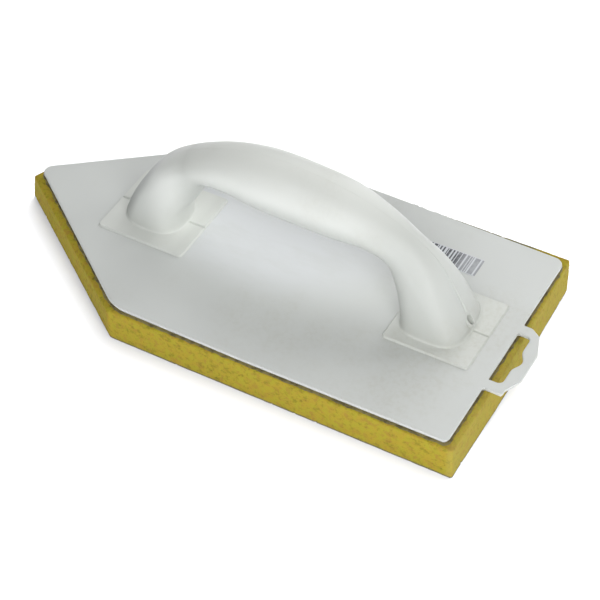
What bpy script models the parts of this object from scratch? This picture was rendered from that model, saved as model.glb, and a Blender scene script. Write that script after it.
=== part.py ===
"""Pointed sponge float: a foam slab glued under a moulded plate that carries a hollow two-piece handle.

The origin is the centre of the foam's working face. +X runs from the pointed front to the straight rear edge,
+Y is the left side seen from behind, and +Z goes up through the handle. All lengths are in metres.
"""

import math

import bmesh
import bpy

MM = 0.001

# Stack, from the working face upwards
TOUCH_GAP = 0.3 * MM
SPONGE_THICKNESS = 19.65 * MM
GLUE_THICKNESS = 0.15 * MM
PLATE_THICKNESS = 2.6 * MM
BOND_THICKNESS = 0.2 * MM
FLANGE_THICKNESS = 1.0 * MM
LABEL_THICKNESS = 0.15 * MM

GLUE_BOTTOM = SPONGE_THICKNESS + TOUCH_GAP
PLATE_BOTTOM = GLUE_BOTTOM + GLUE_THICKNESS + TOUCH_GAP
PLATE_TOP = PLATE_BOTTOM + PLATE_THICKNESS
BOND_BOTTOM = PLATE_TOP + TOUCH_GAP
FLANGE_BOTTOM = BOND_BOTTOM + BOND_THICKNESS + TOUCH_GAP
FLANGE_TOP = FLANGE_BOTTOM + FLANGE_THICKNESS
LABEL_BOTTOM = PLATE_TOP + TOUCH_GAP

# Foam slab
FLOAT_LENGTH = 270 * MM
FLOAT_WIDTH = 130 * MM
TAPER_LENGTH = 90 * MM
TIP_CUT_LENGTH = 5.5 * MM
REAR_X = FLOAT_LENGTH / 2
TIP_X = -FLOAT_LENGTH / 2
BEND_X = TIP_X + TAPER_LENGTH
TAPER_ANGLE = math.atan2(FLOAT_WIDTH / 2, TAPER_LENGTH)

# Plate, set back a little from the foam's edges
SIDE_MARGIN = 0.7 * MM
REAR_MARGIN = 3.2 * MM
PLATE_POINT_X = -129.5 * MM
PLATE_TAPER_ANGLE = math.radians(36.7)
TIP_RADIUS = 4.5 * MM
BEND_RADIUS = 20 * MM
REAR_RADIUS = 3 * MM
PLATE_EDGE_ROUND = 0.5 * MM
GLUE_MARGIN = 1.5 * MM

# Hanging loop on the plate's rear edge
LOOP_CENTRE_Y = -6.6 * MM
LOOP_REACH = 13.7 * MM
LOOP_HALF_WIDTH = 21.7 * MM
LOOP_CORNER_HALF_WIDTH = 18.5 * MM
LOOP_CORNER_REACH = 9.5 * MM
LOOP_FLAT_NEAR = 10 * MM
LOOP_FLAT_FAR = 7.5 * MM
SLOT_HALF_WIDTH = 16.4 * MM
SLOT_REACH = 6.6 * MM
SLOT_RADIUS = 1.5 * MM
NOTCH_HALF_WIDTH = 7 * MM
NOTCH_DEPTH = 2.7 * MM
NOTCH_STEPS = 12

# Foot flanges of the handle: front and rear edge of each
FRONT_FLANGE = (-80.0 * MM, -31.7 * MM)
REAR_FLANGE = (77.0 * MM, 121.5 * MM)
FLANGE_HALF_WIDTH = 22.9 * MM
FLANGE_RADIUS = 2 * MM
FLANGE_EDGE_ROUND = 0.4 * MM
BOND_MARGIN = 2 * MM

# Handle sections from the front foot to the rear foot, in millimetres: crest x and z, palm-side x and z,
# half width, and how square the section is (2 is an ellipse)
HANDLE_SECTIONS = (
    (-72.7, 27.0, -41.5, 27.0, 14.8, 2.8),
    (-68.4, 37.0, -39.5, 35.5, 14.5, 2.7),
    (-60.8, 50.0, -34.0, 44.8, 13.9, 2.5),
    (-50.6, 63.1, -30.2, 52.9, 13.3, 2.3),
    (-35.1, 73.5, -24.3, 60.8, 12.8, 2.1),
    (-16.5, 81.7, -9.6, 61.5, 14.0, 2.1),
    (5.0, 86.5, 6.0, 58.4, 15.2, 2.1),
    (28.0, 86.4, 26.0, 57.4, 15.1, 2.1),
    (49.5, 83.3, 44.6, 57.6, 14.5, 2.2),
    (68.7, 76.7, 60.0, 57.0, 12.2, 2.0),
    (83.8, 68.7, 69.4, 51.9, 10.4, 2.0),
    (96.0, 58.1, 74.2, 43.8, 12.6, 2.2),
    (104.0, 44.5, 78.0, 36.2, 15.2, 2.8),
    (110.0, 32.5, 79.3, 30.5, 16.4, 3.2),
    (112.5, 27.0, 79.8, 27.0, 17.2, 3.4),
)
STEPS_PER_SECTION = 2
HALF_RING_SIDES = 12
WALL_THICKNESS = 2.5 * MM
FOOT_FLARE = 2.2 * MM
FLARE_STEPS = 3
SEAM_HALF_GAP = TOUCH_GAP / 2
CUT_OVERLAP = 2 * MM

# Oval vent boss on the seam at the foot of the tail
VENT_X = 110.8 * MM
VENT_Z = 30.0 * MM
VENT_SLOPE = math.radians(52)
VENT_HALF_LENGTH = 3.7 * MM
VENT_HALF_WIDTH = 2.8 * MM
VENT_HOLE_HALF_LENGTH = 2.4 * MM
VENT_HOLE_HALF_WIDTH = 1.3 * MM
VENT_PROUD = 0.6 * MM
VENT_DEPTH = 5 * MM
VENT_SIDES = 20

# Printed label on the plate, partly under the handle's tail
LABEL_CENTRE = (80 * MM, 38.5 * MM)
LABEL_SIZE = (36 * MM, 12 * MM)


def clear_scene():
    for old in list(bpy.data.objects):
        bpy.data.objects.remove(old, do_unlink=True)


def plastic(name, colour, roughness):
    material = bpy.data.materials.new(name)
    material.use_nodes = True
    shader = material.node_tree.nodes["Principled BSDF"]
    shader.inputs["Base Color"].default_value = (*colour, 1)
    shader.inputs["Roughness"].default_value = roughness
    shader.inputs["Metallic"].default_value = 0
    return material


def add_object(name, mesh, material=None):
    part = bpy.data.objects.new(name, mesh)
    bpy.context.scene.collection.objects.link(part)
    if material:
        mesh.materials.append(material)
    return part


def make_cutter(part):
    part.hide_render = True
    part.display_type = "WIRE"
    return part


def mesh_from(name, points, faces):
    mesh = bpy.data.meshes.new(name)
    mesh.from_pydata(points, [], faces)
    shape = bmesh.new()
    shape.from_mesh(mesh)
    bmesh.ops.recalc_face_normals(shape, faces=shape.faces)
    shape.to_mesh(mesh)
    shape.free()
    return mesh


def loft(name, rings):
    """Join closed rings with the same number of points into one solid with flat ends."""
    count = len(rings[0])
    points = [point for ring in rings for point in ring]
    faces = [tuple(range(count)), tuple(range(len(points) - count, len(points)))]
    for row in range(len(rings) - 1):
        for side in range(count):
            start = row * count
            after = (side + 1) % count
            faces.append((start + side, start + after, start + count + after, start + count + side))
    return mesh_from(name, points, faces)


def prism(name, outline, bottom, top):
    return loft(name, [[(x, y, z) for x, y in outline] for z in (bottom, top)])


def rounded_outline(corners, steps=5):
    """Outline through (x, y, radius) corners, each rounded with an arc of its radius."""
    outline = []
    for index, (x, y, radius) in enumerate(corners):
        if radius == 0:
            outline.append((x, y))
            continue
        before = corners[index - 1]
        after = corners[(index + 1) % len(corners)]
        back = math.atan2(before[1] - y, before[0] - x)
        ahead = math.atan2(after[1] - y, after[0] - x)
        half = ((ahead - back + math.pi) % (2 * math.pi) - math.pi) / 2
        reach = radius / abs(math.sin(half))
        centre_x = x + reach * math.cos(back + half)
        centre_y = y + reach * math.sin(back + half)
        sweep = math.pi - 2 * abs(half)
        turn = 1 if half < 0 else -1
        start = back + half + math.pi - turn * sweep / 2
        for step in range(steps + 1):
            angle = start + turn * sweep * step / steps
            outline.append((centre_x + radius * math.cos(angle), centre_y + radius * math.sin(angle)))
    return outline


def combine(part, tool, operation):
    modifier = part.modifiers.new(operation.lower(), "BOOLEAN")
    modifier.operation = operation
    modifier.solver = "EXACT"
    modifier.object = make_cutter(tool)


def round_edges(part, width, segments=1):
    modifier = part.modifiers.new("rounded edges", "BEVEL")
    modifier.width = width
    modifier.segments = segments
    modifier.limit_method = "ANGLE"
    modifier.angle_limit = math.radians(50)


def sponge_pad():
    half = FLOAT_WIDTH / 2
    cut_half = TIP_CUT_LENGTH * math.tan(TAPER_ANGLE)
    shoulders = [(BEND_X, -half), (REAR_X, -half), (REAR_X, half), (BEND_X, half)]
    bottom = [(TIP_X, 0, 0)] + [(x, y, 0) for x, y in shoulders]
    cut_x = TIP_X + TIP_CUT_LENGTH
    top = [(x, y, SPONGE_THICKNESS) for x, y in [(cut_x, -cut_half)] + shoulders + [(cut_x, cut_half)]]
    faces = [(0, 4, 3, 2, 1), tuple(range(5, 11))]
    faces += [(0, 1, 6, 5), (1, 2, 7, 6), (2, 3, 8, 7), (3, 4, 9, 8), (4, 0, 10, 9), (0, 5, 10)]
    mesh = mesh_from("sponge_pad", bottom + top, faces)
    return add_object("sponge_pad", mesh, plastic("open_cell_foam", (0.44, 0.33, 0.05), 0.95))


def plate_outline(inset):
    side_y = FLOAT_WIDTH / 2 - SIDE_MARGIN - inset
    rear_x = REAR_X - REAR_MARGIN - inset
    tip_x = PLATE_POINT_X + inset / math.sin(PLATE_TAPER_ANGLE)
    bend_x = tip_x + side_y / math.tan(PLATE_TAPER_ANGLE)
    return rounded_outline([
        (tip_x, 0, TIP_RADIUS),
        (bend_x, -side_y, BEND_RADIUS),
        (rear_x, -side_y, REAR_RADIUS),
        (rear_x, side_y, REAR_RADIUS),
        (bend_x, side_y, BEND_RADIUS),
    ])


def hanging_loop_outline():
    rear_x = REAR_X - REAR_MARGIN
    corners = [
        (rear_x - CUT_OVERLAP, -LOOP_HALF_WIDTH, 0),
        (rear_x + LOOP_CORNER_REACH, -LOOP_HALF_WIDTH, 1 * MM),
        (rear_x + LOOP_CORNER_REACH, -LOOP_CORNER_HALF_WIDTH, 2 * MM),
        (rear_x + LOOP_REACH, -LOOP_FLAT_NEAR, 5 * MM),
        (rear_x + LOOP_REACH, LOOP_FLAT_FAR, 5 * MM),
        (rear_x + LOOP_CORNER_REACH, LOOP_CORNER_HALF_WIDTH, 3 * MM),
        (rear_x + LOOP_CORNER_REACH / 2, LOOP_HALF_WIDTH, 4 * MM),
        (rear_x - CUT_OVERLAP, LOOP_HALF_WIDTH, 0),
    ]
    return [(x, y + LOOP_CENTRE_Y) for x, y in rounded_outline(corners, steps=4)]


def slot_outline():
    """Slot of the loop with a soft hook notch in the middle of its outer side."""
    inner_x = REAR_X - REAR_MARGIN
    outer_x = inner_x + SLOT_REACH
    corners = [(inner_x, -SLOT_HALF_WIDTH, 0), (outer_x, -SLOT_HALF_WIDTH, SLOT_RADIUS)]
    for step in range(NOTCH_STEPS + 1):
        across = 2 * step / NOTCH_STEPS - 1
        depth = NOTCH_DEPTH * (1 + math.cos(math.pi * across)) / 2
        corners.append((outer_x + depth, across * NOTCH_HALF_WIDTH, 0))
    corners += [(outer_x, SLOT_HALF_WIDTH, SLOT_RADIUS), (inner_x, SLOT_HALF_WIDTH, 0)]
    return [(x, y + LOOP_CENTRE_Y) for x, y in rounded_outline(corners, steps=3)]


def base_plate():
    plate = add_object(
        "base_plate",
        prism("base_plate", plate_outline(0), PLATE_BOTTOM, PLATE_TOP),
        plastic("white_plate_plastic", (0.62, 0.64, 0.62), 0.42),
    )
    loop = prism("loop_body", hanging_loop_outline(), PLATE_BOTTOM, PLATE_TOP)
    slot = prism("loop_slot", slot_outline(), PLATE_BOTTOM - CUT_OVERLAP, PLATE_TOP + CUT_OVERLAP)
    combine(plate, add_object("loop_body", loop), "UNION")
    combine(plate, add_object("loop_slot", slot), "DIFFERENCE")
    round_edges(plate, PLATE_EDGE_ROUND)
    return plate


def sponge_adhesive():
    mesh = prism("sponge_adhesive", plate_outline(GLUE_MARGIN), GLUE_BOTTOM, GLUE_BOTTOM + GLUE_THICKNESS)
    return add_object("sponge_adhesive", mesh, plastic("amber_glue", (0.32, 0.25, 0.1), 0.5))


def foot_bond(name, flange):
    """Weld bed under one foot flange: a rounded rectangle set in from the flange's edges."""
    low_x = flange[0] + BOND_MARGIN
    high_x = flange[1] - BOND_MARGIN
    half = FLANGE_HALF_WIDTH - BOND_MARGIN
    corners = [(low_x, -half), (high_x, -half), (high_x, half), (low_x, half)]
    outline = rounded_outline([(x, y, FLANGE_RADIUS) for x, y in corners], steps=3)
    mesh = prism(name, outline, BOND_BOTTOM, BOND_BOTTOM + BOND_THICKNESS)
    return add_object(name, mesh, plastic(name + "_resin", (0.66, 0.66, 0.6), 0.5))


def smooth_sections():
    """Catmull-Rom curve through the handle's sections, in metres."""
    rows = [tuple(value * MM for value in row[:5]) + (row[5],) for row in HANDLE_SECTIONS]
    first = tuple(2 * a - b for a, b in zip(rows[0], rows[1]))
    last = tuple(2 * a - b for a, b in zip(rows[-1], rows[-2]))
    padded = [first] + rows + [last]
    smooth = []
    for index in range(len(rows) - 1):
        quad = padded[index:index + 4]
        for step in range(STEPS_PER_SECTION):
            t = step / STEPS_PER_SECTION
            smooth.append(tuple(
                0.5 * (2 * b + (c - a) * t + (2 * a - 5 * b + 4 * c - d) * t * t + (3 * b - a - 3 * c + d) * t ** 3)
                for a, b, c, d in zip(*quad)
            ))
    smooth.append(rows[-1])
    return smooth


def half_ring(section, grow, seam_y):
    """Half of one section on the +Y side, closed by a straight side at seam_y; grow moves its skin outwards."""
    crest_x, crest_z, palm_x, palm_z, half_width, squareness = section
    centre_x = (crest_x + palm_x) / 2
    centre_z = (crest_z + palm_z) / 2
    half_depth = math.hypot(crest_x - palm_x, crest_z - palm_z) / 2
    unit_x = (crest_x - palm_x) / (2 * half_depth)
    unit_z = (crest_z - palm_z) / (2 * half_depth)
    power = 2 / squareness
    ring = []
    for side in range(HALF_RING_SIDES + 1):
        angle = math.pi * side / HALF_RING_SIDES
        across = math.copysign(abs(math.cos(angle)) ** power, math.cos(angle)) * (half_depth + grow)
        y = max(abs(math.sin(angle)) ** power * (half_width + grow), SEAM_HALF_GAP)
        if side in (0, HALF_RING_SIDES):
            y = seam_y
        ring.append((centre_x + unit_x * across, y, centre_z + unit_z * across))
    return ring


def flared_foot(section, seam_y):
    """Rings that widen a foot in a round fillet down into its flange, from the flange upwards."""
    rings = []
    for step in range(FLARE_STEPS):
        angle = math.pi / 2 * step / FLARE_STEPS
        height = FLANGE_TOP + FOOT_FLARE * (1 - math.cos(angle))
        ring = half_ring(section, FOOT_FLARE * (1 - math.sin(angle)), seam_y)
        rings.append([(x, y, height) for x, y, z in ring])
    sunk = [(x, y, FLANGE_TOP - FLANGE_THICKNESS / 2) for x, y, z in rings[0]]
    return [sunk] + rings


def handle_skin():
    sections = smooth_sections()
    rings = [half_ring(section, 0, SEAM_HALF_GAP) for section in sections]
    front = flared_foot(sections[0], SEAM_HALF_GAP)
    rear = flared_foot(sections[-1], SEAM_HALF_GAP)
    return front + rings + rear[::-1]


def handle_hollow():
    return [half_ring(section, -WALL_THICKNESS, -CUT_OVERLAP) for section in smooth_sections()]


def half_flange(flange):
    low_x, high_x = flange
    corners = [
        (low_x, SEAM_HALF_GAP, 0),
        (high_x, SEAM_HALF_GAP, 0),
        (high_x, FLANGE_HALF_WIDTH, FLANGE_RADIUS),
        (low_x, FLANGE_HALF_WIDTH, FLANGE_RADIUS),
    ]
    return rounded_outline(corners, steps=3)


def vent_rings(half_length, half_width, low, high, seam_y):
    """Half of an oval cylinder on the seam, square to the tail's sloping back."""
    along = (-math.cos(VENT_SLOPE), math.sin(VENT_SLOPE))
    outward = (math.sin(VENT_SLOPE), math.cos(VENT_SLOPE))
    rings = []
    for height in (low, high):
        ring = []
        for side in range(VENT_SIDES // 2 + 1):
            angle = 2 * math.pi * side / VENT_SIDES
            reach = half_length * math.cos(angle)
            y = seam_y if side in (0, VENT_SIDES // 2) else half_width * math.sin(angle)
            x = VENT_X + along[0] * reach + outward[0] * height
            z = VENT_Z + along[1] * reach + outward[1] * height
            ring.append((x, y, z))
        rings.append(ring)
    return rings


def on_side(rings, side):
    return [[(x, y * side, z) for x, y, z in ring] for ring in rings]


def handle_half(name, side):
    """One half shell: side is 1 for the +Y half and -1 for the -Y half."""
    shell = add_object(
        name,
        loft(name, on_side(handle_skin(), side)),
        plastic(name + "_plastic", (0.7, 0.72, 0.68), 0.38),
    )
    for label, flange in (("front", FRONT_FLANGE), ("rear", REAR_FLANGE)):
        outline = [(x, y * side) for x, y in half_flange(flange)]
        foot = add_object(f"{name}_{label}_foot", prism(f"{name}_{label}_foot", outline, FLANGE_BOTTOM, FLANGE_TOP))
        round_edges(foot, FLANGE_EDGE_ROUND)
        combine(shell, foot, "UNION")
    boss = vent_rings(VENT_HALF_LENGTH, VENT_HALF_WIDTH, -VENT_DEPTH / 2, VENT_PROUD, SEAM_HALF_GAP)
    combine(shell, add_object(name + "_boss", loft(name + "_boss", on_side(boss, side))), "UNION")
    hollow = loft(name + "_hollow", on_side(handle_hollow(), side))
    combine(shell, add_object(name + "_hollow", hollow), "DIFFERENCE")
    hole = vent_rings(VENT_HOLE_HALF_LENGTH, VENT_HOLE_HALF_WIDTH, -VENT_DEPTH, 2 * VENT_PROUD, -CUT_OVERLAP)
    combine(shell, add_object(name + "_vent", loft(name + "_vent", on_side(hole, side))), "DIFFERENCE")
    return shell


def barcode_label():
    centre_x, centre_y = LABEL_CENTRE
    half_x = LABEL_SIZE[0] / 2
    half_y = LABEL_SIZE[1] / 2
    outline = [
        (centre_x - half_x, centre_y - half_y),
        (centre_x + half_x, centre_y - half_y),
        (centre_x + half_x, centre_y + half_y),
        (centre_x - half_x, centre_y + half_y),
    ]
    mesh = prism("barcode_label", outline, LABEL_BOTTOM, LABEL_BOTTOM + LABEL_THICKNESS)
    return add_object("barcode_label", mesh, plastic("printed_film", (0.6, 0.61, 0.63), 0.45))


def build():
    clear_scene()
    sponge_pad()
    sponge_adhesive()
    base_plate()
    foot_bond("front_foot_bond", FRONT_FLANGE)
    foot_bond("rear_foot_bond", REAR_FLANGE)
    handle_half("handle_left_half", 1)
    handle_half("handle_right_half", -1)
    barcode_label()


build()
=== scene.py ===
"""Looks of a pointed sponge float: foam, glue line, moulded plate with a hanging loop, handle and label.

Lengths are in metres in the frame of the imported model: the origin is the centre of the foam's working face,
+X runs from the pointed front to the straight rear edge, and +Z goes up through the handle.
"""

import math
import random

import bmesh
import bpy
from mathutils import Matrix, Vector, kdtree, noise


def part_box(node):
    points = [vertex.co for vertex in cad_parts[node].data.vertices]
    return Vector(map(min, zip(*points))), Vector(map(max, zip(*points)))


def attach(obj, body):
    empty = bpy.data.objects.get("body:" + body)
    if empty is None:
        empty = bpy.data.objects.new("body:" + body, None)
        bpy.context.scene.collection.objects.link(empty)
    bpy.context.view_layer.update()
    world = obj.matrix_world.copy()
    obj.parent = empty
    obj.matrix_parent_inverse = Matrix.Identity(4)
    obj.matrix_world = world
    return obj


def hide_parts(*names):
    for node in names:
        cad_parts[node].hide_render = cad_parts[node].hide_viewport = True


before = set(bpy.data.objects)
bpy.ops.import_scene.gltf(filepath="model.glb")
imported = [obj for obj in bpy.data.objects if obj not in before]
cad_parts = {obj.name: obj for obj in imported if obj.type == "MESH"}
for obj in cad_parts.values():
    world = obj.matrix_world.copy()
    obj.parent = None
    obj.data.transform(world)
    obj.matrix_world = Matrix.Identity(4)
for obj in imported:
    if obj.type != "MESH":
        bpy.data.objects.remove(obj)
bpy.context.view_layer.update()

MM = 0.001

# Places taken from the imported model
FOAM_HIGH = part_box("sponge_pad")[1]
PLATE_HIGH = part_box("base_plate")[1]
HANDLE_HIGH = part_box("handle_left_half")[1]
FRONT_BOND_LOW, FRONT_BOND_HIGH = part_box("front_foot_bond")
REAR_BOND_LOW, REAR_BOND_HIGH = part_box("rear_foot_bond")
LABEL_LOW, LABEL_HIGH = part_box("barcode_label")

# Foam slab: soft, so its cut edges are a little off the straight and square. Corners as (x, y) in
# millimetres from the point along the -Y side; the rear edge bows outwards
FOAM_TOP = FOAM_HIGH.z + 0.25 * MM
FOAM_BOTTOM_CORNERS = ((-136.8, -0.6), (-46.4, -66.2), (135.5, -65.8), (133.4, 65.9), (-45.0, 65.4))
FOAM_TOP_CORNERS = (
    (-130.8, -5.0),
    (-46.4, -66.2),
    (135.2, -65.8),
    (132.7, 67.5),
    (-44.5, 66.5),
    (-126.2, 5.4),
)
REAR_BOW = 1.0 * MM
REAR_BOW_CENTRE = -12 * MM
REAR_BOW_STEPS = 12
FOAM_VOXEL = 0.8 * MM
FOAM_EDGE_ROUND = 0.9 * MM
PORE_COUNT = 3600
PORE_SMALLEST = 0.4 * MM
PORE_LARGEST = 0.9 * MM
PORE_BOWL_WIDTH = 1.3
PORE_BOWL_DEPTH = 0.7
FLAT_FACE_SKIN = 0.1 * MM

# Darker line on the foam's lower edges and on its upper +Y edge, where it starts past this Y and this X
DARK_EDGE_WIDTH = 3.2 * MM
FAR_DARK_EDGE_START = 60 * MM
FAR_DARK_EDGE_FRONT = -44 * MM

# Plate
PLATE_BOTTOM = FOAM_TOP + 0.1 * MM
PLATE_TOP = PLATE_HIGH.z
REAR_MARGIN = 3.2 * MM
REAR_X = FOAM_HIGH.x - REAR_MARGIN
PLATE_EDGE_ROUND = 0.6 * MM
PLATE_EDGE_HEIGHT = 1.1 * MM
PLATE_UNDERCUT = 1.1 * MM

# Pale streaky cloud on the plate under the handle: real streaks, made paler with painted light under the arch
LIT_HAZE_CENTRE = (-6 * MM, 24 * MM)
LIT_HAZE_REACH = (80 * MM, 58 * MM)

# Corners of the plate as (x, y, radius) in millimetres, from the point along the -Y side. Both long sides
# bow a little
PLATE_FRONT_CORNERS = ((-129.5, -0.4, 4.5), (-43.8, -64.6, 20), (25, -65.2, 0), (131.8, -64.4, 3))
PLATE_REAR_CORNERS = ((131.8, 62.6, 5), (40, 64.0, 0), (-42.9, 64.0, 20))

# Hanging loop on the plate's rear edge
LOOP_CENTRE_Y = -6.6 * MM
LOOP_REACH = PLATE_HIGH.x - REAR_X
LOOP_HALF_WIDTH = 21.7 * MM
LOOP_CORNER_HALF_WIDTH = 18.5 * MM
LOOP_CORNER_REACH = 9.5 * MM
LOOP_FLAT_NEAR = 10 * MM
LOOP_FLAT_FAR = 7.5 * MM
LOOP_FILLET = 1.2 * MM
SLOT_HALF_WIDTH = 16 * MM
SLOT_REACH = 6.6 * MM
SLOT_RADIUS = 2.6 * MM
NOTCH_HALF_WIDTH = 7 * MM
NOTCH_DEPTH = 2.7 * MM
NOTCH_STEPS = 24

# Glue that has crept out from under the plate
GLUE_CREEP = 0.6 * MM
GLUE_CREEP_CHANGE = 0.6 * MM
# Along the +Y side the film widens into a grey strip under the plate's far edge
GLUE_FAR_WIDENING = 1.9 * MM
GLUE_FAR_END = 9 * MM
GLUE_STEP = 0.7 * MM

# Foot flanges of the handle, each on its bond, whose bead shows as a thin line under the flange's edge
BOND_MARGIN = 2 * MM
FRONT_FLANGE = (FRONT_BOND_LOW.x - BOND_MARGIN, FRONT_BOND_HIGH.x + BOND_MARGIN)
REAR_FLANGE = (REAR_BOND_LOW.x - BOND_MARGIN, REAR_BOND_HIGH.x + BOND_MARGIN)
FLANGE_HALF_WIDTH = HANDLE_HIGH.y
FLANGE_TOP = 24.1 * MM
FLANGE_BOTTOM = PLATE_TOP + 0.12 * MM
FLANGE_RADIUS = 2 * MM
FLANGE_EDGE_SLOPE = 0.5 * MM
FLANGE_EDGE_ROUND = 0.15 * MM
BEAD_MARGIN = 0.02 * MM
BEAD_GAP = 0.02 * MM

# Handle sections from the front foot to the rear foot, in millimetres: crest x and z, palm-side x and z,
# half width, and how square the section is (2 is an ellipse)
HANDLE_SECTIONS = (
    (-72.7, 27.0, -41.5, 27.0, 14.8, 2.8),
    (-68.4, 37.0, -39.5, 35.5, 14.5, 2.7),
    (-60.8, 50.0, -34.0, 44.8, 13.9, 2.5),
    (-50.6, 63.1, -30.2, 52.9, 13.3, 2.3),
    (-35.1, 73.5, -24.3, 60.8, 12.8, 2.1),
    (-16.5, 81.7, -9.6, 61.5, 14.0, 2.1),
    (5.0, 86.5, 6.0, 58.4, 15.2, 2.1),
    (28.0, 86.4, 26.0, 57.4, 15.1, 2.1),
    (49.5, 83.3, 44.6, 57.6, 14.5, 2.2),
    (68.7, 76.7, 60.0, 57.0, 12.2, 2.0),
    (83.8, 68.7, 69.4, 51.9, 10.4, 2.0),
    (96.0, 58.1, 74.2, 43.8, 12.6, 2.2),
    (104.0, 44.5, 78.0, 36.2, 15.2, 2.8),
    (110.0, 32.5, 79.3, 30.5, 16.4, 3.2),
    (112.5, 27.0, 79.8, 27.0, 17.2, 3.4),
)
STEPS_PER_SECTION = 6
HALF_RING_SIDES = 40
FOOT_FLARE = 0.8 * MM
FLARE_STEPS = 6
SEAM_HALF_GAP = 0.02 * MM
SEAM_FLAT = 0.3 * MM
SEAM_DEPTH = 0.06 * MM
FOOT_SINK = 0.6 * MM

# Painted light turns the handle's white paler and painted shade turns it darker: from and to, along X or up
# Z.
# The painted shade band leans back with the front foot, by a set lean along X for each unit of height
PAINTED_LIGHT_FRONT = (-60 * MM, -44 * MM)
PAINTED_LIGHT_FOOT_END = (-42 * MM, -30 * MM)
PAINTED_LIGHT_REAR = (45 * MM, 95 * MM)
PAINTED_LIGHT_GRIP_HEIGHT = (66 * MM, 77 * MM)
PAINTED_LIGHT_FLANGE_HEIGHT = (FLANGE_TOP + 0.5 * MM, FLANGE_TOP + 2 * MM)
PAINTED_SHADE_LEAN = 0.44
PAINTED_SHADE_FRONT = (-84 * MM, -84 * MM + 7 * MM)
PAINTED_SHADE_FOOT_HEIGHT = (FLANGE_TOP + 0.5 * MM, FLANGE_TOP + 4 * MM)

# Oval vent boss on the seam at the foot of the tail
VENT_X = 110.8 * MM
VENT_Z = 30.0 * MM
VENT_SLOPE = math.radians(52)
VENT_HALF_LENGTH = 4.1 * MM
VENT_HALF_WIDTH = 3.2 * MM
VENT_HOLE_HALF_LENGTH = 2.6 * MM
VENT_HOLE_HALF_WIDTH = 1.6 * MM
VENT_PROUD = 0.9 * MM
VENT_DEPTH = 3 * MM
VENT_SIDES = 48
VENT_BOSS_LEVELS = (
    (-VENT_DEPTH, 0),
    (VENT_PROUD - 0.3 * MM, 0),
    (VENT_PROUD - 0.1 * MM, -0.12 * MM),
    (VENT_PROUD, -0.35 * MM),
)
VENT_HOLE_LEVELS = ((-0.7 * VENT_DEPTH, -0.4 * MM), (0, 0), (2 * VENT_PROUD, 0.3 * MM))

# Weld ridge that runs down the tail's seam, faint at first and thick above the vent
RIDGE_FRONT_X = 80 * MM
RIDGE_START_Z = 67 * MM
RIDGE_SIDES = 12
RIDGE_HALF_WIDTH = 1.1 * MM
RIDGE_HEIGHT = 1.3 * MM
RIDGE_OFFSET = 0.4 * MM
RIDGE_SINK = 0.15 * MM

# Printed bars of the label; they turn paler from and to these places along X
BAR_STEP = 0.42 * MM
BAR_BORDER = 0.4 * MM
BARS_PALE = (84 * MM, 90 * MM)

# Camera and light
CAMERA_TARGET = Vector((21.35, -1.01, 0)) * MM
CAMERA_DISTANCE = 923.7 * MM
CAMERA_AZIMUTH = math.radians(30.82)
CAMERA_ELEVATION = math.radians(46.236)
CAMERA_ROLL = math.radians(-1.917)
CAMERA_LENS = 113.69

# Soft round lamps around the float: azimuth and height in degrees, and watts
LAMPS = (
    ("front_right", -45, 22, 2.3),
    ("front_right_high", -45, 50, 1.1),
    ("front", -90, 50, 1.55),
    ("front_low", -90, 22, 0.5),
    ("right_low", 45, 22, 1.5),
    ("right_high", 45, 50, 0.3),
    ("rear_low", 90, 22, 1.6),
    ("rear_high", 90, 50, 1.25),
    ("left_high", 135, 50, 0.65),
    ("left_low", 135, 22, 0.3),
    ("far_left_high", 180, 50, 0.45),
)
LAMP_DISTANCE = 0.8
LAMP_SIZE = 0.4

# A sun that lights only the floor, so that it comes out nearly white
FLOOR_WASH = 1.55
FLOOR_WASH_FROM = (0.17, 0.29, 0.94)
FLOOR_WASH_ANGLE = math.radians(36)
FLOOR_HALF_WIDTH = 4.0
FLOOR_DROP = 0.05 * MM


# ---------------------------------------------------------------- meshes

def add_piece(name, mesh, material, slot, *nodes):
    """A visible piece that rides on the model, stands for the given CAD nodes and takes the material; slot is
    not used.
    """
    piece = bpy.data.objects.new(name, mesh)
    bpy.context.scene.collection.objects.link(piece)
    mesh.materials.clear()
    mesh.materials.append(material)
    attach(piece, "root")
    if nodes:
        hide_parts(*nodes)
    return piece


def loose_object(name, mesh):
    helper = bpy.data.objects.new(name, mesh)
    bpy.context.scene.collection.objects.link(helper)
    return helper


def baked_mesh(helper):
    """The helper's mesh with its modifiers applied; the helper is removed."""
    evaluated = helper.evaluated_get(bpy.context.evaluated_depsgraph_get())
    mesh = bpy.data.meshes.new_from_object(evaluated)
    bpy.data.objects.remove(helper, do_unlink=True)
    return mesh


def combined(base, tool, operation):
    """Boolean of two meshes."""
    helper = loose_object("base", base)
    cutter = loose_object("tool", tool)
    modifier = helper.modifiers.new("combine", "BOOLEAN")
    modifier.operation = operation
    modifier.solver = "EXACT"
    modifier.object = cutter
    mesh = baked_mesh(helper)
    bpy.data.objects.remove(cutter, do_unlink=True)
    return mesh


def shade(mesh, sharp_degrees=40):
    mesh.shade_smooth()
    mesh.set_sharp_from_angle(angle=math.radians(sharp_degrees))
    return mesh


def mesh_from(name, points, faces):
    mesh = bpy.data.meshes.new(name)
    mesh.from_pydata(points, [], faces)
    shape = bmesh.new()
    shape.from_mesh(mesh)
    bmesh.ops.recalc_face_normals(shape, faces=shape.faces)
    shape.to_mesh(mesh)
    shape.free()
    return mesh


def loft(name, rings):
    """Join closed rings with the same number of points into one capped body."""
    count = len(rings[0])
    points = [point for ring in rings for point in ring]
    faces = [tuple(range(count)), tuple(range(len(points) - count, len(points)))]
    for row in range(len(rings) - 1):
        for side in range(count):
            start = row * count
            after = (side + 1) % count
            faces.append((start + side, start + after, start + count + after, start + count + side))
    return mesh_from(name, points, faces)


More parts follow.
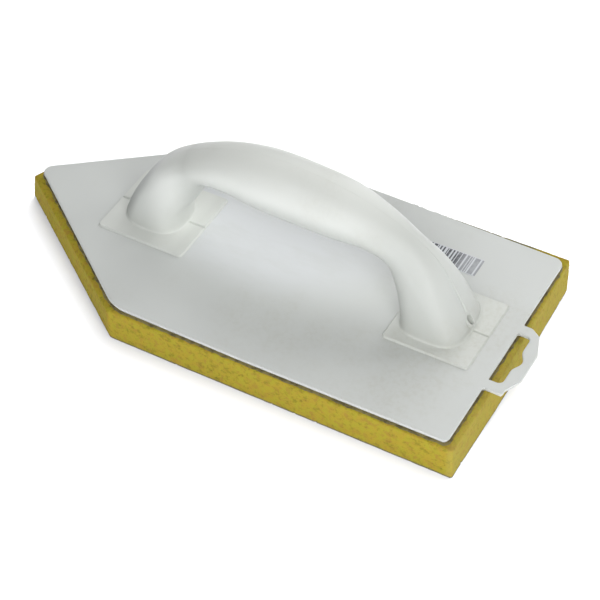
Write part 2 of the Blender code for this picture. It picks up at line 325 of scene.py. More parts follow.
def rounded_outline(corners, steps=10):
    """Outline through (x, y, radius) corners, each rounded with an arc of its radius."""
    outline = []
    for index, (x, y, radius) in enumerate(corners):
        if radius == 0:
            outline.append((x, y))
            continue
        before = corners[index - 1]
        after = corners[(index + 1) % len(corners)]
        back = math.atan2(before[1] - y, before[0] - x)
        ahead = math.atan2(after[1] - y, after[0] - x)
        half = ((ahead - back + math.pi) % (2 * math.pi) - math.pi) / 2
        reach = radius / abs(math.sin(half))
        centre_x = x + reach * math.cos(back + half)
        centre_y = y + reach * math.sin(back + half)
        sweep = math.pi - 2 * abs(half)
        turn = 1 if half < 0 else -1
        start = back + half + math.pi - turn * sweep / 2
        for step in range(steps + 1):
            angle = start + turn * sweep * step / steps
            outline.append((centre_x + radius * math.cos(angle), centre_y + radius * math.sin(angle)))
    return outline


def inset_outline(outline, distance):
    """Move every point of a counterclockwise outline inwards by distance."""
    moved = []
    for index, point in enumerate(outline):
        here = Vector(point)
        back = (here - Vector(outline[index - 1])).normalized()
        ahead = (Vector(outline[(index + 1) % len(outline)]) - here).normalized()
        inward = Vector((-back.y - ahead.y, back.x + ahead.x)).normalized()
        stretch = max(inward.dot(Vector((-back.y, back.x))), 0.5)
        moved.append(tuple(here + inward * (distance / stretch)))
    return moved


def edge_profile(bottom, top, radius, support, steps=4):
    """(inset, height) pairs up one side of a slab whose top edge is rounded, ending on the flat top."""
    pairs = [(0, bottom), (0, top - radius)]
    for step in range(1, steps + 1):
        angle = math.pi / 2 * step / steps
        pairs.append((radius * (1 - math.cos(angle)), top - radius * (1 - math.sin(angle))))
    return pairs + [(radius + support, top)]


def slab(name, outline, profile, hole=None):
    """A flat body with one edge profile round its counterclockwise outline and round any clockwise hole."""
    shape = bmesh.new()
    ends = []
    for loop in [outline] + ([hole] if hole else []):
        rows = []
        for inset, height in profile:
            ring = inset_outline(loop, inset) if inset else loop
            rows.append([shape.verts.new((x, y, height)) for x, y in ring])
        for low, high in zip(rows, rows[1:]):
            for side in range(len(loop)):
                after = (side + 1) % len(loop)
                shape.faces.new((low[side], low[after], high[after], high[side]))
        ends.append((rows[0], rows[-1]))
    for end in (0, 1):
        edges = []
        for rows in ends:
            ring = rows[end]
            edges += [shape.edges.get((ring[i - 1], ring[i])) for i in range(len(ring))]
        bmesh.ops.triangle_fill(shape, use_beauty=True, edges=edges)
    bmesh.ops.recalc_face_normals(shape, faces=shape.faces)
    mesh = bpy.data.meshes.new(name)
    shape.to_mesh(mesh)
    shape.free()
    return mesh


# ---------------------------------------------------------------- materials

class Nodes:
    """A node material, with short calls for the nodes that it is made of."""

    def __init__(self, name, roughness=0.5):
        self.material = bpy.data.materials.new(name)
        self.material.use_nodes = True
        self.tree = self.material.node_tree
        self.shader = self.tree.nodes["Principled BSDF"]
        self.shader.inputs["Roughness"].default_value = roughness
        self.shader.inputs["IOR"].default_value = 1.49
        self.place = self.tree.nodes.new("ShaderNodeTexCoord").outputs["Object"]

    def put(self, value, socket):
        if isinstance(value, bpy.types.NodeSocket):
            self.tree.links.new(value, socket)
        elif value is not None:
            socket.default_value = value

    def set(self, name, value):
        self.put(value, self.shader.inputs[name])

    def scaled(self, x, y, z, turn=0):
        node = self.tree.nodes.new("ShaderNodeMapping")
        node.inputs["Scale"].default_value = (x, y, z)
        node.inputs["Rotation"].default_value = (0, 0, turn)
        self.tree.links.new(self.place, node.inputs["Vector"])
        return node.outputs["Vector"]

    def noise(self, scale, detail=3, rough=0.55, place=None, twist=0):
        node = self.tree.nodes.new("ShaderNodeTexNoise")
        self.put(place or self.place, node.inputs["Vector"])
        settings = {"Scale": scale, "Detail": detail, "Roughness": rough, "Distortion": twist}
        for key, value in settings.items():
            node.inputs[key].default_value = value
        return node.outputs["Fac"]

    def cells(self, scale):
        node = self.tree.nodes.new("ShaderNodeTexVoronoi")
        self.put(self.place, node.inputs["Vector"])
        node.inputs["Scale"].default_value = scale
        return node.outputs["Distance"]

    def coordinate(self, axis):
        node = self.tree.nodes.new("ShaderNodeSeparateXYZ")
        self.tree.links.new(self.place, node.inputs[0])
        return node.outputs[axis]

    def attribute(self, name):
        node = self.tree.nodes.new("ShaderNodeAttribute")
        node.attribute_name = name
        return node.outputs["Fac"]

    def ramp(self, value, low, high, start=0.0, end=1.0):
        """Map low..high smoothly to start..end."""
        node = self.tree.nodes.new("ShaderNodeMapRange")
        node.interpolation_type = "SMOOTHSTEP"
        self.put(value, node.inputs["Value"])
        settings = {"From Min": low, "From Max": high, "To Min": start, "To Max": end}
        for key, number in settings.items():
            node.inputs[key].default_value = number
        return node.outputs["Result"]

    def mix(self, factor, first, second):
        node = self.tree.nodes.new("ShaderNodeMix")
        node.data_type = "RGBA"
        self.put(factor, node.inputs["Factor"])
        colours = [socket for socket in node.inputs if socket.type == "RGBA"]
        self.put(first, colours[0])
        self.put(second, colours[1])
        return next(socket for socket in node.outputs if socket.type == "RGBA")

    def math(self, operation, first, second=0.0):
        node = self.tree.nodes.new("ShaderNodeMath")
        node.operation = operation
        self.put(first, node.inputs[0])
        self.put(second, node.inputs[1])
        return node.outputs[0]

    def bump(self, height, distance, strength=1.0, under=None):
        node = self.tree.nodes.new("ShaderNodeBump")
        node.inputs["Distance"].default_value = distance
        node.inputs["Strength"].default_value = strength
        self.put(height, node.inputs["Height"])
        if under:
            self.put(under, node.inputs["Normal"])
        return node.outputs["Normal"]


def rgba(red, green, blue):
    return (red, green, blue, 1)


def plastic_looks(name, colour_of, dusty, roughness):
    """White moulded plastic: a faint mould grain, soft sink waves, rub marks and a little grime."""
    look = Nodes(name)
    cloud = look.noise(14, 4, 0.6)
    fine = look.noise(420, 3, 0.6)
    grime = look.math("MULTIPLY", look.ramp(cloud, 0.5, 0.72), look.ramp(fine, 0.4, 0.7, 0.35, 1))
    look.set("Base Color", look.mix(look.math("MULTIPLY", grime, 0.4), colour_of(look), rgba(*dusty)))
    rubs = look.noise(60, 4, 0.7, look.scaled(1, 9, 9, math.radians(14)))
    uneven = look.ramp(look.noise(30, 3), 0.3, 0.7, *roughness)
    look.set("Roughness", look.math("ADD", uneven, look.ramp(rubs, 0.55, 0.75, 0, 0.1)))
    grain = look.bump(look.noise(1900, 2, 0.5), 0.03 * MM, 0.35)
    waves = look.bump(look.noise(26, 2, 0.45), 1.2 * MM, 0.12, grain)
    look.set("Normal", look.bump(look.ramp(rubs, 0.6, 0.68), 0.03 * MM, 0.25, waves))
    return look.material


def plate_colour(look):
    """White with a pale streaky cloud under the handle, partly real streaks and partly painted light."""
    squares = []
    for axis, centre, reach in zip("XY", LIT_HAZE_CENTRE, LIT_HAZE_REACH):
        away = look.math("DIVIDE", look.math("SUBTRACT", look.coordinate(axis), centre), reach)
        squares.append(look.math("MULTIPLY", away, away))
    away = look.math("ADD", *squares)
    streaks = look.noise(35, 5, 0.65, look.scaled(1, 3, 1, math.radians(-12)))
    # Painted light under the handle's arch, broken up by streaks
    lit_haze = look.math("MULTIPLY", look.ramp(away, 0.15, 1, 1, 0), look.ramp(streaks, 0.3, 0.6, 0.6, 1))
    return look.mix(lit_haze, rgba(0.585, 0.605, 0.588), rgba(0.66, 0.68, 0.69))


def handle_colour_with_painted_light(look):
    """White, with painted light on the grip's top, front foot and flanges, and painted shade down the front
    foot's front.
    """
    along = look.coordinate("X")
    height = look.coordinate("Z")
    # Painted light: paler on the grip's top, the front foot and the flanges
    upper = look.ramp(height, *PAINTED_LIGHT_GRIP_HEIGHT)
    foot = look.ramp(along, *PAINTED_LIGHT_FOOT_END, 1, 0)
    pale = look.math("MULTIPLY", look.math("MAXIMUM", upper, foot), look.ramp(along, *PAINTED_LIGHT_FRONT))
    pale = look.math("MULTIPLY", pale, look.ramp(along, *PAINTED_LIGHT_REAR, 1, 0))
    pale = look.math("MAXIMUM", pale, look.ramp(height, *PAINTED_LIGHT_FLANGE_HEIGHT, 0.55, 0))
    base = look.mix(pale, rgba(0.56, 0.58, 0.548), rgba(0.69, 0.71, 0.675))
    # Painted shade: darker down the front foot's front
    front = look.math("SUBTRACT", along, look.math("MULTIPLY", height, PAINTED_SHADE_LEAN))
    dark = look.ramp(front, *PAINTED_SHADE_FRONT, 0.65, 0)
    dark = look.math("MULTIPLY", dark, look.ramp(height, *PAINTED_SHADE_FOOT_HEIGHT))
    return look.mix(dark, base, rgba(0.3, 0.32, 0.3))


def foam_looks():
    """Yellow open-cell foam: clouded colour, dark cells, painted shade in pores, painted light on the rear,
    darker lines on some edges.
    """
    look = Nodes("open_cell_foam", 0.95)
    cloud = look.ramp(look.noise(240, 4, 0.6), 0.38, 0.62)
    base = look.mix(cloud, rgba(0.385, 0.285, 0.03), rgba(0.36, 0.31, 0.028))
    rust = look.ramp(look.noise(330, 4, 0.65, twist=0.4), 0.5, 0.66)
    base = look.mix(look.math("MULTIPLY", rust, 0.75), base, rgba(0.33, 0.195, 0.035))
    olive = look.ramp(look.noise(430, 3, 0.6), 0.52, 0.68)
    base = look.mix(look.math("MULTIPLY", olive, 0.7), base, rgba(0.21, 0.18, 0.018))
    cells = look.cells(900)
    dark = look.ramp(cells, 0.05, 0.45, 0.6, 0)
    specks = look.ramp(look.noise(620, 3, 0.65), 0.56, 0.66)
    dark = look.math("MULTIPLY", dark, look.ramp(specks, 0, 1, 0.2, 0.8))
    base = look.mix(dark, base, rgba(0.16, 0.125, 0.015))
    # Painted shade: darker the deeper a pressed pore goes
    base = look.mix(look.ramp(look.attribute("pore_shade"), 0.1, 0.8, 0, 0.6), base, rgba(0.14, 0.11, 0.015))
    # Painted light: paler towards the rear face
    rear = look.ramp(look.coordinate("X"), FOAM_HIGH.x - 4 * MM, FOAM_HIGH.x - 1 * MM, 0, 0.35)
    base = look.mix(rear, base, rgba(0.39, 0.325, 0.085))
    # Darker towards the lower edges and along the upper +Y edge
    base = look.mix(look.ramp(look.attribute("dark_edge"), 0.3, 0.7, 0, 0.9), base, rgba(0.125, 0.12, 0.08))
    look.set("Base Color", base)
    look.set("Specular IOR Level", 0.15)
    fine = look.bump(cells, 0.4 * MM, 0.4)
    look.set("Normal", look.bump(look.noise(600, 3, 0.7), 0.3 * MM, 0.4, fine))
    return look.material


def glue_looks():
    """Dried amber glue with darker blots, and greyer along the +Y side."""
    look = Nodes("amber_glue", 0.45)
    blots = look.ramp(look.noise(260, 3, 0.6), 0.42, 0.62)
    base = look.mix(blots, rgba(0.21, 0.17, 0.06), rgba(0.1, 0.08, 0.03))
    far = look.ramp(look.coordinate("Y"), FAR_DARK_EDGE_START, FAR_DARK_EDGE_START + 2 * MM)
    look.set("Base Color", look.mix(far, base, rgba(0.13, 0.13, 0.11)))
    look.set("Normal", look.bump(look.noise(700, 2), 0.2 * MM, 0.6))
    return look.material


def label_looks():
    """Printed film: bars of changing width across X, in darker and paler groups."""
    look = Nodes("printed_film", 0.4)
    along = look.coordinate("X")
    across = look.coordinate("Y")
    step = look.math("FLOOR", look.math("DIVIDE", along, BAR_STEP))
    pick = look.tree.nodes.new("ShaderNodeTexWhiteNoise")
    pick.noise_dimensions = "1D"
    look.tree.links.new(step, pick.inputs["W"])
    bar = look.math("GREATER_THAN", pick.outputs["Value"], 0.42)
    middle = (LABEL_LOW.y + LABEL_HIGH.y) / 2
    off_centre = look.math("ABSOLUTE", look.math("SUBTRACT", across, middle))
    inside = look.math("LESS_THAN", off_centre, (LABEL_HIGH.y - LABEL_LOW.y) / 2 - BAR_BORDER)
    ink = look.math("MULTIPLY", bar, inside)
    worn = look.ramp(look.noise(300, 3, 0.6), 0.3, 0.6, 0.75, 1)
    pale = look.ramp(along, *BARS_PALE, 1, 0.55)
    ink = look.math("MULTIPLY", look.math("MULTIPLY", ink, worn), pale)
    look.set("Base Color", look.mix(ink, rgba(0.6, 0.62, 0.65), rgba(0.045, 0.05, 0.06)))
    look.set("Normal", look.bump(look.noise(200, 2), 0.05 * MM, 0.3))
    return look.material


def floor_looks():
    look = Nodes("pale_floor", 0.9)
    look.set("Specular IOR Level", 0)
    look.set("Base Color", look.mix(look.noise(3, 2), rgba(0.78, 0.79, 0.83), rgba(0.785, 0.79, 0.825)))
    return look.material


# ---------------------------------------------------------------- foam

def bowed(corners):
    """Corners in metres, with the rear edge between the third and fourth corners bowed outwards."""
    near, far = (Vector(corner) * MM for corner in corners[2:4])
    rear = []
    for step in range(REAR_BOW_STEPS + 1):
        x, y = near.lerp(far, step / REAR_BOW_STEPS)
        end = near if y < REAR_BOW_CENTRE else far
        reach = (y - REAR_BOW_CENTRE) / (end.y - REAR_BOW_CENTRE)
        rear.append((x + REAR_BOW * math.cos(math.pi / 2 * reach) ** 2, y))
    return [(x * MM, y * MM) for x, y in corners[:2]] + rear + [(x * MM, y * MM) for x, y in corners[4:]]


def foam_blank():
    """Slab with a pointed front whose upper tip is cut off on a slant."""
    low = [(x, y, 0) for x, y in bowed(FOAM_BOTTOM_CORNERS)]
    high = [(x, y, FOAM_TOP) for x, y in bowed(FOAM_TOP_CORNERS)]
    count = len(low)
    faces = [tuple(range(count))[::-1], tuple(range(count, 2 * count + 1)), (0, count, 2 * count)]
    for side in range(count):
        after = (side + 1) % count
        upper_after = count + side + 1
        faces.append((side, after, upper_after, count + side))
    return mesh_from("foam_blank", low + high, faces)


def press_pores(mesh):
    """Push small bowls into the skin and store how deep each point went, for painted shade, and how near a
    darker edge it is.
    """
    draws = random.Random(11)
    points = [vertex.co.copy() for vertex in mesh.vertices]
    normals = [vertex.normal.copy() for vertex in mesh.vertices]
    tree = kdtree.KDTree(len(points))
    for index, point in enumerate(points):
        tree.insert(point, index)
    tree.balance()
    depth = [0.0] * len(points)
    for _ in range(PORE_COUNT):
        centre = points[draws.randrange(len(points))]
        radius = PORE_SMALLEST + (PORE_LARGEST - PORE_SMALLEST) * draws.random() ** 5
        for _, index, away in tree.find_range(centre, radius * PORE_BOWL_WIDTH):
            bowl = 1 - (away / (radius * PORE_BOWL_WIDTH)) ** 2
            depth[index] = max(depth[index], bowl * radius * PORE_BOWL_DEPTH)
    pores = mesh.attributes.new("pore_shade", "FLOAT", "POINT")
    dark_edge = mesh.attributes.new("dark_edge", "FLOAT", "POINT")
    low, high = bowed(FOAM_BOTTOM_CORNERS), bowed(FOAM_TOP_CORNERS)
    for index, (point, normal) in enumerate(zip(points, normals)):
        rough = noise.noise(point * 700) * 0.06 * MM + noise.noise(point * 120) * 0.1 * MM
        if not FLAT_FACE_SKIN <= point.z <= FOAM_TOP - FLAT_FACE_SKIN:
            rough = min(rough, 0) * 0.5
        mesh.vertices[index].co = point + normal * (rough - depth[index])
        pores.data[index].value = min(depth[index] / (0.6 * MM), 1)
        dark_edge.data[index].value = dark_edge_nearness(point, low, high)
    return mesh


def far_share(x, y):
    """1 along the far long side, fading to 0 at both its ends."""
    sideways = (y - FAR_DARK_EDGE_START) / (3 * MM)
    rear = (REAR_X - GLUE_FAR_END - x) / (10 * MM)
    front = (x - FAR_DARK_EDGE_FRONT) / (30 * MM)
    return max(0.0, min(1.0, sideways, rear, front))


def dark_edge_nearness(point, low, high):
    """1 on the block's lower edge or its upper +Y edge, falling to 0 one dark edge width away from it."""
    upper = point.y > FAR_DARK_EDGE_START and point.z > FOAM_TOP / 2
    outline = high if upper else low
    upwards = FOAM_TOP - point.z if upper else point.z
    ends = [Vector(corner) for corner in outline]
    sideways = min(segment_distance(point.xy, ends[index - 1], end) for index, end in enumerate(ends))
    strength = far_share(point.x, point.y) if upper else 1
    return max(0.0, 1 - math.hypot(sideways, upwards) / DARK_EDGE_WIDTH) * strength


def segment_distance(point, start, end):
    """Distance of a point from the straight line between two ends."""
    along = end - start
    share = max(0.0, min(1.0, (point - start).dot(along) / along.length_squared))
    return (point - start - along * share).length


def foam():
    helper = loose_object("foam_blank", foam_blank())
    bevel = helper.modifiers.new("soft edges", "BEVEL")
    bevel.width = FOAM_EDGE_ROUND
    bevel.segments = 2
    bevel.limit_method = "ANGLE"
    bevel.angle_limit = math.radians(35)
    remesh = helper.modifiers.new("small faces", "REMESH")
    remesh.mode = "VOXEL"
    remesh.voxel_size = FOAM_VOXEL
    mesh = press_pores(baked_mesh(helper))
    piece = add_piece("foam_slab", shade(mesh, 80), foam_looks(), "sponge_foam", "sponge_pad")


# ---------------------------------------------------------------- plate, glue and label

def in_metres(corners):
    return [tuple(value * MM for value in corner) for corner in corners]


def loop_corners():
    """Outline of the hanging loop, from the -Y side round to the +Y side."""
    corners = [
        (0, -LOOP_HALF_WIDTH, LOOP_FILLET),
        (LOOP_CORNER_REACH, -LOOP_HALF_WIDTH, 1 * MM),
        (LOOP_CORNER_REACH, -LOOP_CORNER_HALF_WIDTH, 1.5 * MM),
        (LOOP_REACH, -LOOP_FLAT_NEAR, 5 * MM),
        (LOOP_REACH, LOOP_FLAT_FAR, 5 * MM),
        (LOOP_CORNER_REACH, LOOP_CORNER_HALF_WIDTH, 3 * MM),
        (LOOP_CORNER_REACH / 2, LOOP_HALF_WIDTH, 4 * MM),
        (0, LOOP_HALF_WIDTH, LOOP_FILLET),
    ]
    return [(REAR_X + reach, y + LOOP_CENTRE_Y, radius) for reach, y, radius in corners]


def slot_outline():
    """Slot of the loop with a soft hook notch in the middle of its outer side, clockwise."""
    outer_x = REAR_X + SLOT_REACH
    corners = [(REAR_X, -SLOT_HALF_WIDTH, 0.6 * MM), (outer_x, -SLOT_HALF_WIDTH, SLOT_RADIUS)]
    for step in range(NOTCH_STEPS + 1):
        across = 2 * step / NOTCH_STEPS - 1
        depth = NOTCH_DEPTH * (1 + math.cos(math.pi * across)) / 2
        corners.append((outer_x + depth, across * NOTCH_HALF_WIDTH, 0))
    corners += [(outer_x, SLOT_HALF_WIDTH, SLOT_RADIUS), (REAR_X, SLOT_HALF_WIDTH, 0.6 * MM)]
    return [(x, y + LOOP_CENTRE_Y) for x, y in rounded_outline(corners, 5)][::-1]


def plate():
    corners = in_metres(PLATE_FRONT_CORNERS) + loop_corners() + in_metres(PLATE_REAR_CORNERS)
    outline = rounded_outline(corners)
    profile = edge_profile(PLATE_TOP - PLATE_EDGE_HEIGHT, PLATE_TOP, PLATE_EDGE_ROUND, 0.3 * MM)
    profile = [(PLATE_UNDERCUT, PLATE_BOTTOM)] + profile
    mesh = shade(slab("plate_body", outline, profile, slot_outline()), 50)
    look = plastic_looks("plate_plastic", plate_colour, (0.47, 0.47, 0.41), (0.38, 0.5))
    return add_piece("plate_body", mesh, look, "plate_plastic", "base_plate")


def fine_outline(outline, longest):
    """The same outline with every side cut into steps no longer than a limit."""
    fine = []
    for index, point in enumerate(outline):
        here = Vector(point)
        after = Vector(outline[(index + 1) % len(outline)])
        steps = max(1, round((after - here).length / longest))
        fine += [tuple(here.lerp(after, step / steps)) for step in range(steps)]
    return fine


def outline_point(outline, index, distance):
    """One point of a counterclockwise outline, moved outwards."""
    along = (Vector(outline[(index + 1) % len(outline)]) - Vector(outline[index - 1])).normalized()
    return tuple(Vector(outline[index]) + Vector((along.y, -along.x)) * distance)


def glue_line():
    """Thin film under the plate whose edge has crept out unevenly over the foam."""
    corners = in_metres(PLATE_FRONT_CORNERS + PLATE_REAR_CORNERS)
    outline = fine_outline(rounded_outline(corners), GLUE_STEP)
    crept = []
    for index, (x, y) in enumerate(outline):
        spread = noise.noise(Vector((x, y, 0)) * 250) + 0.6 * noise.noise(Vector((x, y, 5 * MM)) * 800)
        creep = GLUE_CREEP + GLUE_CREEP_CHANGE * max(min(spread, 1), -1)
        creep += GLUE_FAR_WIDENING * far_share(x, y)
        crept.append(outline_point(outline, index, creep))
    profile = [(0, FOAM_TOP + 0.02 * MM), (0.02 * MM, PLATE_BOTTOM - 0.01 * MM)]
    mesh = shade(slab("glue_film", crept, profile))
    return add_piece("glue_film", mesh, glue_looks(), "glue_film", "sponge_adhesive")


def label():
    low, high = LABEL_LOW, LABEL_HIGH
    radius = 0.8 * MM
    corners = [(low.x, low.y), (high.x, low.y), (high.x, high.y), (low.x, high.y)]
    outline = rounded_outline([(x, y, radius) for x, y in corners], 4)
    profile = edge_profile(PLATE_TOP + 0.02 * MM, PLATE_TOP + 0.12 * MM, 0.04 * MM, 0.1 * MM, 2)
    mesh = shade(slab("printed_label", outline, profile))
    return add_piece("printed_label", mesh, label_looks(), "printed_film", "barcode_label")


# ---------------------------------------------------------------- handle

def spline(a, b, c, d, t):
    """Catmull-Rom curve from b to c, with a before and d after them."""
    square = (2 * a - 5 * b + 4 * c - d) * t * t
    cube = (3 * b - a - 3 * c + d) * t ** 3
    return 0.5 * (2 * b + (c - a) * t + square + cube)


def smooth_sections():
    """Catmull-Rom curve through the handle's sections, in metres."""
    rows = [tuple(value * MM for value in row[:5]) + (row[5],) for row in HANDLE_SECTIONS]
    first = tuple(2 * a - b for a, b in zip(rows[0], rows[1]))
    last = tuple(2 * a - b for a, b in zip(rows[-1], rows[-2]))
    padded = [first] + rows + [last]
    smooth = []
    for index in range(len(rows) - 1):
        quad = padded[index:index + 4]
        for step in range(STEPS_PER_SECTION):
            t = step / STEPS_PER_SECTION
            smooth.append(tuple(spline(*values, t) for values in zip(*quad)))
    smooth.append(rows[-1])
    return smooth


def half_ring(section, grow=0.0):
    """The +Y half of one section, with a fine groove along the seam; grow moves its skin outwards."""
    crest_x, crest_z, palm_x, palm_z, half_width, squareness = section
    centre_x = (crest_x + palm_x) / 2
    centre_z = (crest_z + palm_z) / 2
    half_depth = math.hypot(crest_x - palm_x, crest_z - palm_z) / 2
    unit_x = (crest_x - palm_x) / (2 * half_depth)
    unit_z = (crest_z - palm_z) / (2 * half_depth)
    power = 2 / squareness
    flat = half_depth + grow
    profile = [(SEAM_HALF_GAP, flat - SEAM_DEPTH), (SEAM_FLAT / 2, flat), (SEAM_FLAT, flat)]
    sides = []
    for side in range(1, HALF_RING_SIDES):
        angle = math.pi * side / HALF_RING_SIDES
        across = math.copysign(abs(math.cos(angle)) ** power, math.cos(angle)) * flat
        sides.append((abs(math.sin(angle)) ** power * (half_width + grow), across))
    profile += [pair for pair in sides if pair[0] > SEAM_FLAT * 1.5]
    profile += [(SEAM_FLAT, -flat), (SEAM_FLAT / 2, -flat), (SEAM_HALF_GAP, -flat + SEAM_DEPTH)]
    return [(centre_x + unit_x * across, y, centre_z + unit_z * across) for y, across in profile]


def flared_foot(section):
    """Rings that widen a foot in a round fillet down into its flange, from the flange upwards."""
    rings = []
    for step in range(FLARE_STEPS):
        angle = math.pi / 2 * step / FLARE_STEPS
        height = FLANGE_TOP + FOOT_FLARE * (1 - math.cos(angle))
        ring = half_ring(section, FOOT_FLARE * (1 - math.sin(angle)))
        rings.append([(x, y, height) for x, y, z in ring])
    sunk = [(x, y, FLANGE_TOP - FOOT_SINK) for x, y, z in rings[0]]
    return [sunk] + rings


def handle_skin():
    sections = smooth_sections()
    rings = [half_ring(section) for section in sections]
    return flared_foot(sections[0]) + rings + flared_foot(sections[-1])[::-1]


def half_flange(flange):
    """Outline of the +Y half of one foot flange."""
    low_x, high_x = flange
    corners = [
        (low_x, SEAM_HALF_GAP, 0),
        (high_x, SEAM_HALF_GAP, 0),
        (high_x, FLANGE_HALF_WIDTH, FLANGE_RADIUS),
        (low_x, FLANGE_HALF_WIDTH, FLANGE_RADIUS),
    ]
    return rounded_outline(corners, 8)


def vent_rings(half_length, half_width, levels, seam_y):
    """Half of an oval cylinder on the seam, square to the tail's back; levels are (height, grow) pairs."""
    along = (-math.cos(VENT_SLOPE), math.sin(VENT_SLOPE))
    outward = (math.sin(VENT_SLOPE), math.cos(VENT_SLOPE))
    rings = []
    for height, grow in levels:
        ring = []
        for side in range(VENT_SIDES // 2 + 1):
            angle = 2 * math.pi * side / VENT_SIDES
            reach = (half_length + grow) * math.cos(angle)
            y = seam_y if side in (0, VENT_SIDES // 2) else (half_width + grow) * math.sin(angle)
            x = VENT_X + along[0] * reach + outward[0] * height
            z = VENT_Z + along[1] * reach + outward[1] * height
            ring.append((x, y, z))
        rings.append(ring)
    return rings


def on_side(rings, side):
    return [[(x, y * side, z) for x, y, z in ring] for ring in rings]


def handle_half(name, side, look, node):
    """One half of the handle: side is 1 for the +Y half and -1 for the -Y half."""
    mesh = loft(name, on_side(handle_skin(), side))
    for flange in (FRONT_FLANGE, REAR_FLANGE):
        outline = half_flange(flange)
        if side < 0:
            outline = [(x, -y) for x, y in outline][::-1]
        profile = [
            (0, FLANGE_BOTTOM),
            (FLANGE_EDGE_SLOPE, FLANGE_TOP - FLANGE_EDGE_ROUND),
            (FLANGE_EDGE_SLOPE + FLANGE_EDGE_ROUND, FLANGE_TOP),
        ]
        mesh = combined(mesh, slab(name + "_flange", outline, profile), "UNION")
    boss = vent_rings(VENT_HALF_LENGTH, VENT_HALF_WIDTH, VENT_BOSS_LEVELS, SEAM_HALF_GAP)
    mesh = combined(mesh, loft(name + "_boss", on_side(boss, side)), "UNION")
    hole = vent_rings(VENT_HOLE_HALF_LENGTH, VENT_HOLE_HALF_WIDTH, VENT_HOLE_LEVELS, -1 * MM)
    mesh = combined(mesh, loft(name + "_hole", on_side(hole, side)), "DIFFERENCE")
    return add_piece(name, shade(mesh, 35), look, "handle_plastic", node)


def seam_ridge(look):
    """Weld ridge: a bead down the back of the tail, just beside the seam, that grows towards the vent."""
    path = []
    vent_top = VENT_Z + VENT_HALF_LENGTH - 0.5 * MM
    for crest_x, crest_z, *_ in smooth_sections():
        if crest_x > RIDGE_FRONT_X and vent_top < crest_z < RIDGE_START_Z:
            path.append(Vector((crest_x, RIDGE_OFFSET, crest_z)))
    rings = []
    for index, point in enumerate(path):
        along = (path[min(index + 1, len(path) - 1)] - path[max(index - 1, 0)]).normalized()
        out = Vector((-along.z, 0, along.x))
        grown = (index + 1) / len(path)
        size = 0.2 + 0.8 * grown ** 2
        ring = []
        for step in range(RIDGE_SIDES):
            angle = 2 * math.pi * step / RIDGE_SIDES
            side = Vector((0, 1, 0)) * math.cos(angle) * RIDGE_HALF_WIDTH * size
            ring.append(point + side + out * (math.sin(angle) * RIDGE_HEIGHT * size - RIDGE_SINK))
        rings.append(ring)
    mesh = shade(loft("seam_ridge", rings), 60)
    return add_piece("seam_ridge", mesh, look, "handle_plastic")


def foot_bead(name, flange, node, look):
    """Weld bed that shows as a thin line under the flange's edge."""
    low_x, high_x = flange[0] + BEAD_MARGIN, flange[1] - BEAD_MARGIN
    half = FLANGE_HALF_WIDTH - BEAD_MARGIN
    corners = [(low_x, -half), (high_x, -half), (high_x, half), (low_x, half)]
    outline = rounded_outline([(x, y, FLANGE_RADIUS - BEAD_MARGIN) for x, y in corners], 6)
    profile = [(0, PLATE_TOP + BEAD_GAP), (0.05 * MM, FLANGE_BOTTOM - BEAD_GAP)]
    mesh = shade(slab(name, outline, profile))
    return add_piece(name, mesh, look, "weld_bead", node)


# ---------------------------------------------------------------- studio

def add_light(name, kind, energy, place, size):
    """A lamp at a place, aimed at the origin; size is a disk's width or a sun's angle."""
    data = bpy.data.lights.new(name, kind)
    data.energy = energy
    if kind == "AREA":
        data.shape = "DISK"
        data.size = size
    else:
        data.angle = size
    light = bpy.data.objects.new(name, data)
    bpy.context.scene.collection.objects.link(light)
    light.location = place
    light.rotation_euler = (-Vector(place)).to_track_quat("-Z", "Y").to_euler()
    return light


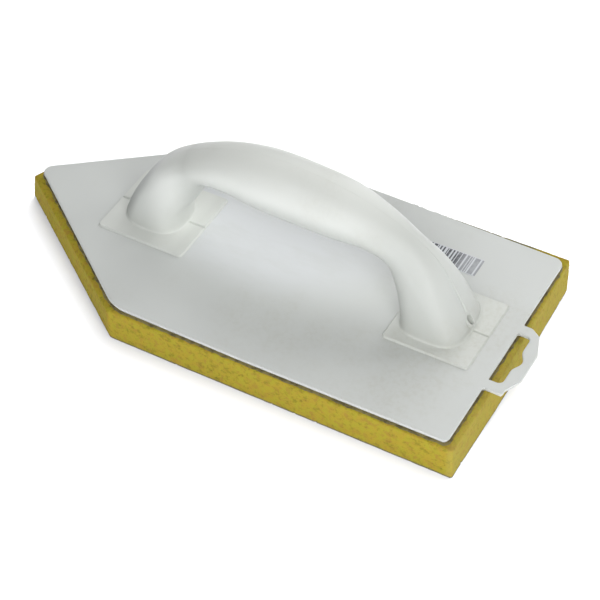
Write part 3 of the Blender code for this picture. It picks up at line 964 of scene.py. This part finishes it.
def studio():
    """Pale floor under soft lamps, in a dark room."""
    world = bpy.data.worlds.new("dark_room")
    world.use_nodes = True
    world.node_tree.nodes["Background"].inputs["Strength"].default_value = 0
    bpy.context.scene.world = world
    bpy.context.scene.view_settings.view_transform = "Standard"

    half = FLOOR_HALF_WIDTH
    corners = [(x, y, -FLOOR_DROP) for x, y in ((-half, -half), (half, -half), (half, half), (-half, half))]
    floor = loose_object("floor", mesh_from("floor", corners, [(0, 1, 2, 3)]))
    floor.data.materials.append(floor_looks())

    for name, azimuth, height, watts in LAMPS:
        turn, rise = math.radians(azimuth), math.radians(height)
        place = Vector((math.cos(turn) * math.cos(rise), math.sin(turn) * math.cos(rise), math.sin(rise)))
        add_light(name, "AREA", watts, place * LAMP_DISTANCE, LAMP_SIZE)
    wash = add_light("floor_wash", "SUN", FLOOR_WASH, FLOOR_WASH_FROM, FLOOR_WASH_ANGLE)
    receivers = bpy.data.collections.new("floor_only")
    receivers.objects.link(floor)
    wash.light_linking.receiver_collection = receivers


def camera():
    """Camera that looks at its target from an azimuth and a height, turned a little about its own axis."""
    data = bpy.data.cameras.new("camera")
    data.lens = CAMERA_LENS
    data.sensor_width = 36
    data.clip_end = 50
    eye = bpy.data.objects.new("camera", data)
    bpy.context.scene.collection.objects.link(eye)
    level = math.cos(CAMERA_ELEVATION)
    sine, cosine = math.sin(CAMERA_AZIMUTH), math.cos(CAMERA_AZIMUTH)
    back = Vector((sine * level, -cosine * level, math.sin(CAMERA_ELEVATION)))
    right = Vector((cosine, sine, 0))
    up = back.cross(right)
    rolled = right * math.cos(CAMERA_ROLL) + up * math.sin(CAMERA_ROLL)
    axes = Matrix((rolled, back.cross(rolled), back)).transposed()
    eye.matrix_world = Matrix.Translation(CAMERA_TARGET + back * CAMERA_DISTANCE) @ axes.to_4x4()
    bpy.context.scene.camera = eye


def build():
    camera()
    studio()
    foam()
    glue_line()
    plate()
    white = plastic_looks("handle_plastic", handle_colour_with_painted_light, (0.49, 0.49, 0.42), (0.42, 0.54))
    handle_half("handle_left", 1, white, "handle_left_half")
    handle_half("handle_right", -1, white, "handle_right_half")
    seam_ridge(white)
    foot_bead("front_weld", FRONT_FLANGE, "front_foot_bond", white)
    foot_bead("rear_weld", REAR_FLANGE, "rear_foot_bond", white)
    label()


build()
